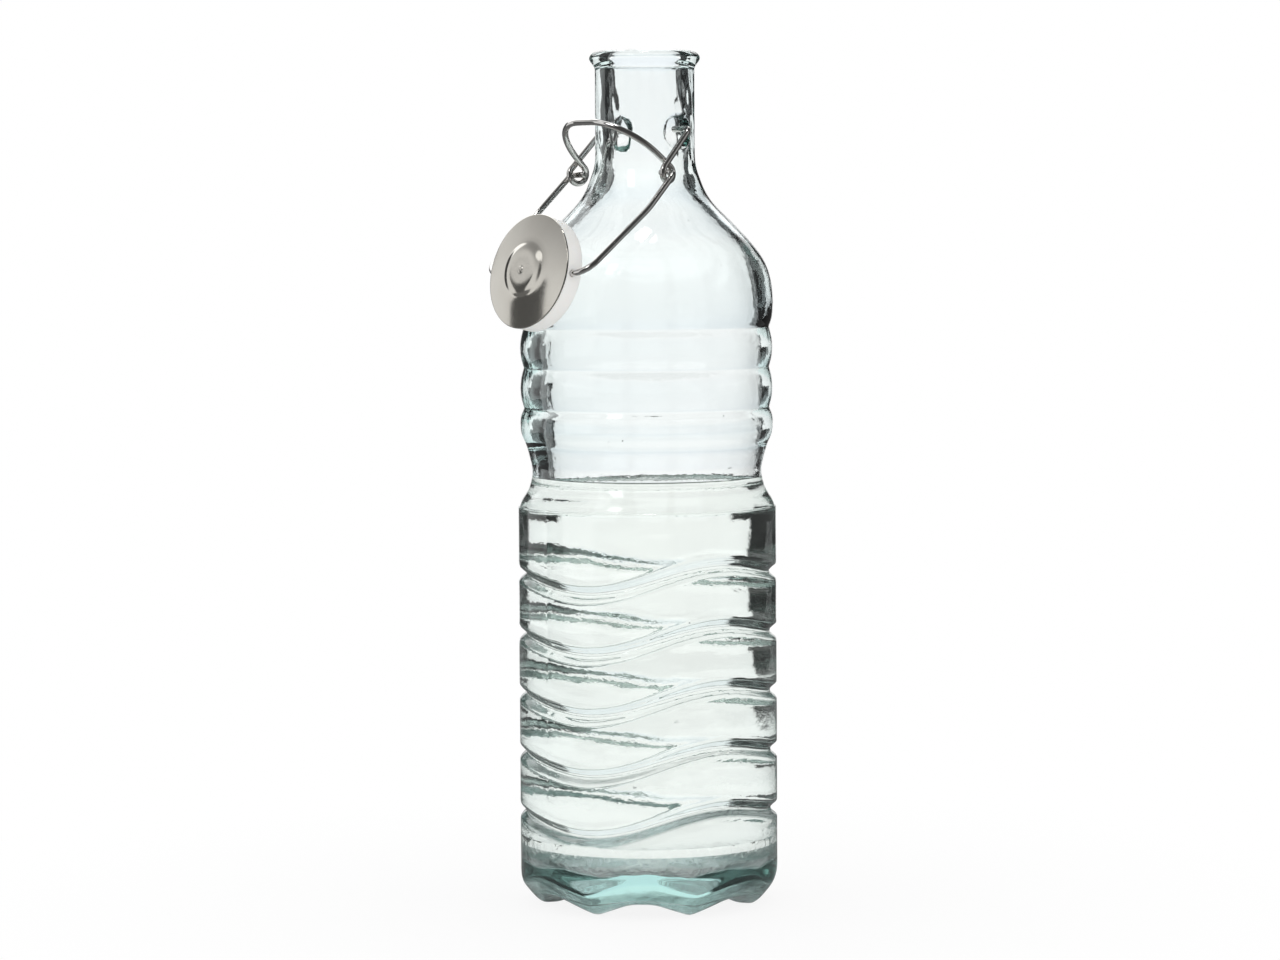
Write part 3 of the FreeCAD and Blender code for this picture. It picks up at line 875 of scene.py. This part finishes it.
class Graph:
    """Short calls that add shader nodes to one tree."""

    def __init__(self, tree):
        self.tree = tree

    def add(self, kind, sources=(), **settings):
        made = self.tree.nodes.new(kind)
        for key, value in settings.items():
            setattr(made, key, value)
        for socket, source in sources:
            if isinstance(source, (int, float, tuple)):
                made.inputs[socket].default_value = source
            else:
                self.tree.links.new(source, made.inputs[socket])
        return made

    def maths(self, operation, *sources):
        return self.add("ShaderNodeMath", list(enumerate(sources)), operation=operation).outputs[0]

    def step(self, value, low, high, start=0.0, end=1.0):
        sources = [("Value", value), ("From Min", low), ("From Max", high), ("To Min", start), ("To Max", end)]
        return self.add("ShaderNodeMapRange", sources, interpolation_type="SMOOTHSTEP").outputs[0]

    def band(self, value, low, high, soft):
        rise = self.step(value, low, low + soft)
        return self.maths("MULTIPLY", rise, self.step(value, high, high - soft))

    def bearing(self, place):
        """Degrees round from the backdrop, height, distance from the axis, and the two level parts."""
        turned = self.add("ShaderNodeMapping", [("Vector", place), ("Rotation", (0, 0, -BACK_AZIMUTH))])
        split = self.add("ShaderNodeSeparateXYZ", [(0, turned.outputs[0])])
        x, y, z = split.outputs
        degrees = self.maths("DEGREES", self.maths("ARCTAN2", y, x))
        away = self.maths("SQRT", self.maths("ADD", self.maths("MULTIPLY", x, x), self.maths("MULTIPLY", y, y)))
        return degrees, z, away, x, y

    def flags(self, degrees, sectors):
        """1 behind a dark flag, 0 in the open."""
        total = 0.0
        for low, high in sectors:
            total = self.maths("ADD", self.band(degrees, low, high, FLAG_SOFT), total)
        return total

    def turned_back(self, degrees, path):
        """1 for light that mirrors inside the glass and leaves toward the front."""
        mirrored = self.step(path.outputs["Glossy Depth"], 0.2, 0.8)
        front = self.step(self.maths("ABSOLUTE", degrees), FRONT, FRONT + 6, 0.0, TURNED_DARK)
        return self.maths("MULTIPLY", mirrored, front)

    def choose(self, test, yes, no):
        """yes where test is 1, no where it is 0."""
        return self.add("ShaderNodeMapRange", [("Value", test), ("To Min", no), ("To Max", yes)]).outputs[0]


def studio_world():
    """A studio staged by kind of ray: white to the camera, a backdrop between dark flags through glass, and a
    dim room with a soft box for what metal and glass mirror."""
    world = bpy.data.worlds.new("studio")
    bpy.context.scene.world = world
    world.use_nodes = True
    world.node_tree.nodes.clear()
    g = Graph(world.node_tree)
    degrees, height, _, toward, across = g.bearing(g.add("ShaderNodeTexCoord").outputs["Generated"])
    path = g.add("ShaderNodeLightPath")

    top = g.step(height, math.sin(math.radians(28)), math.sin(math.radians(48)))
    top = g.maths("MULTIPLY", top, g.step(path.outputs["Glossy Depth"], 0.2, 0.8, 1.0, TOP_MIRRORED))
    level = g.maths("MULTIPLY", g.flags(degrees, HIGH_FLAGS), g.step(height, LEVEL, LEVEL + 0.012))
    dark = g.maths("MAXIMUM", g.maths("MAXIMUM", g.flags(degrees, FLAGS), level), top)
    turned = g.maths("MULTIPLY", g.turned_back(degrees, path), g.step(height, 0.12, 0.35, 1.0, TURNED_HIGH))
    dark = g.maths("MAXIMUM", dark, turned)
    behind_glass = g.step(dark, 0.0, 1.0, BACKDROP, FLAG_DARK)

    backdrop = g.maths("MULTIPLY", g.band(degrees, -15, 15, 5), g.step(height, 0.75, 0.55))
    box = g.maths("MULTIPLY", g.band(degrees, 42, 135, 8), g.step(height, -0.32, -0.26))
    box = g.maths("MULTIPLY", box, g.step(height, 0.15, 0.80, 1.0, 0.34))
    patch = g.maths("MULTIPLY", g.band(degrees, 74, 100, 1.0), g.step(height, 0.275, 0.255))
    box = g.maths("MULTIPLY", box, g.step(patch, 0.0, 1.0, 1.0, BOX_PATCH))
    high = g.maths("MULTIPLY", g.band(degrees, -30, 50, 8), g.step(height, 0.22, 0.32))
    front = g.maths("MULTIPLY", g.band(degrees, 136, 156, 6), g.band(height, 0.48, 0.76, 0.08))
    boss = g.maths("MULTIPLY", g.band(degrees, 100, 134, 8), g.band(height, 0.56, 0.92, 0.08))
    strip = g.maths("MULTIPLY", g.band(degrees, -118, -84, 8), g.band(height, -0.2, 0.7, 0.15))
    mirrored = g.maths("MULTIPLY_ADD", backdrop, MIRRORED_BACKDROP, ROOM_GLOW)
    mirrored = g.maths("MULTIPLY_ADD", box, SOFT_BOX, mirrored)
    mirrored = g.maths("MULTIPLY_ADD", strip, SIDE_STRIP, mirrored)
    mirrored = g.maths("MULTIPLY_ADD", high, HIGH_PANEL, mirrored)
    mirrored = g.maths("MULTIPLY_ADD", front, FRONT_PANEL, mirrored)
    mirrored = g.maths("MULTIPLY_ADD", boss, BOSS_PANEL, mirrored)
    lamp_along = g.maths("DIVIDE", g.maths("ADD", toward, OVERHEAD_TOWARD), OVERHEAD_ALONG)
    lamp_across = g.maths("DIVIDE", across, OVERHEAD_ACROSS)
    along_squared = g.maths("MULTIPLY", lamp_along, lamp_along)
    off_lamp = g.maths("MULTIPLY_ADD", lamp_across, lamp_across, along_squared)
    lamp = g.maths("MULTIPLY", g.step(off_lamp, 1.0, 0.1), g.step(height, 0.0, 0.1))
    mirrored = g.maths("MULTIPLY_ADD", lamp, OVERHEAD_POWER, mirrored)

    strength = g.choose(path.outputs["Is Glossy Ray"], mirrored, SOFT_GLOW)
    strength = g.choose(path.outputs["Is Transmission Ray"], behind_glass, strength)
    strength = g.choose(path.outputs["Is Camera Ray"], 1.0, strength)
    cool = g.maths("MULTIPLY", g.step(height, -0.08, 0.30), path.outputs["Is Transmission Ray"])
    colour = g.add("ShaderNodeMix", [("Factor", cool), ("A", (1.0, 1.0, 1.0, 1)), ("B", SKY_COLOUR)], data_type="RGBA")
    background = g.add("ShaderNodeBackground", [("Color", colour.outputs["Result"]), ("Strength", strength)])
    g.add("ShaderNodeOutputWorld", [("Surface", background.outputs[0])])


def floor():
    """Round white table. Away from the backdrop it falls off into the dark between the flags. Under the bottle its
    glow, as seen through the glass, is dimmed into a painted shadow.
    """
    material, shader, output = new_material("white_table")
    shader.inputs["Base Color"].default_value = (0.9, 0.9, 0.9, 1)
    shader.inputs["Roughness"].default_value = 0.8
    g = Graph(material.node_tree)
    degrees, _, away, _, _ = g.bearing(g.add("ShaderNodeTexCoord").outputs["Object"])
    path = g.add("ShaderNodeLightPath")
    dark = g.maths("MAXIMUM", g.flags(degrees, FLAGS), g.turned_back(degrees, path))
    far = g.maths("MULTIPLY", dark, g.step(away, 0.40, 0.62))
    seen = g.step(far, 0.0, 1.0, THROUGH_TABLE, FLAG_DARK)
    # painted shadow: under the bottle the table's glow seen through the glass drops to 0.38 of its strength
    seen = g.maths("MULTIPLY", seen, g.step(away, 0.040, 0.085, 0.38, 1.0))
    strength = g.choose(path.outputs["Is Glossy Ray"], TABLE_MIRRORED, SOFT_GLOW)
    strength = g.choose(path.outputs["Is Transmission Ray"], seen, strength)
    strength = g.choose(path.outputs["Is Camera Ray"], 1.0, strength)
    glow = g.add("ShaderNodeEmission", [("Strength", strength)])
    lit = g.step(away, 0.06, 0.30, 0.12, 0.0)
    mix = g.add("ShaderNodeMixShader", [(0, lit), (1, glow.outputs[0]), (2, shader.outputs[0])])
    material.node_tree.links.new(mix.outputs[0], output.inputs["Surface"])
    columns = 96
    radius = 1000.0
    verts = [(radius * math.cos(TAU * k / columns), radius * math.sin(TAU * k / columns), 0) for k in range(columns)]
    table = add_mesh("studio_table", verts, [tuple(range(columns))], material, smooth=False)
    table.location.z = -0.0002


def camera():
    data = bpy.data.cameras.new("camera")
    data.lens = CAMERA_LENS
    data.sensor_width = 36
    data.clip_end = 100
    item = bpy.data.objects.new("camera", data)
    bpy.context.scene.collection.objects.link(item)
    toward = Vector((math.sin(CAMERA_AZIMUTH), -math.cos(CAMERA_AZIMUTH), 0))
    item.location = toward * (CAMERA_DISTANCE * MM) + Vector((0, 0, CAMERA_HEIGHT * MM))
    heading = Matrix.Rotation(CAMERA_AZIMUTH - CAMERA_YAW, 4, "Z")
    tilt = Matrix.Rotation(math.pi / 2 - CAMERA_PITCH, 4, "X")
    roll = Matrix.Rotation(-CAMERA_ROLL, 4, "Z")
    item.rotation_euler = (heading @ tilt @ roll).to_euler()
    bpy.context.scene.camera = item


# ---------------------------------------------------------------- assembly

def put(piece, body):
    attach(piece, body)


steel = wire_material()
put(bottle_glass(glass_material()), "bottle")
put(water_fill(water_material()), "bottle")
put(lever_wire(steel), "lever")
put(bail_wire(steel), "bail")
put(stopper(stopper_material()), "stopper")
put(cap_plate(cap_material()), "stopper")
put(seal_ring(seal_material()), "stopper")

studio_world()
floor()
camera()

scene = bpy.context.scene
scene.view_settings.view_transform = "Standard"
scene.cycles.max_bounces = 28
scene.cycles.transmission_bounces = 28
scene.cycles.glossy_bounces = 10
scene.cycles.transparent_max_bounces = 16
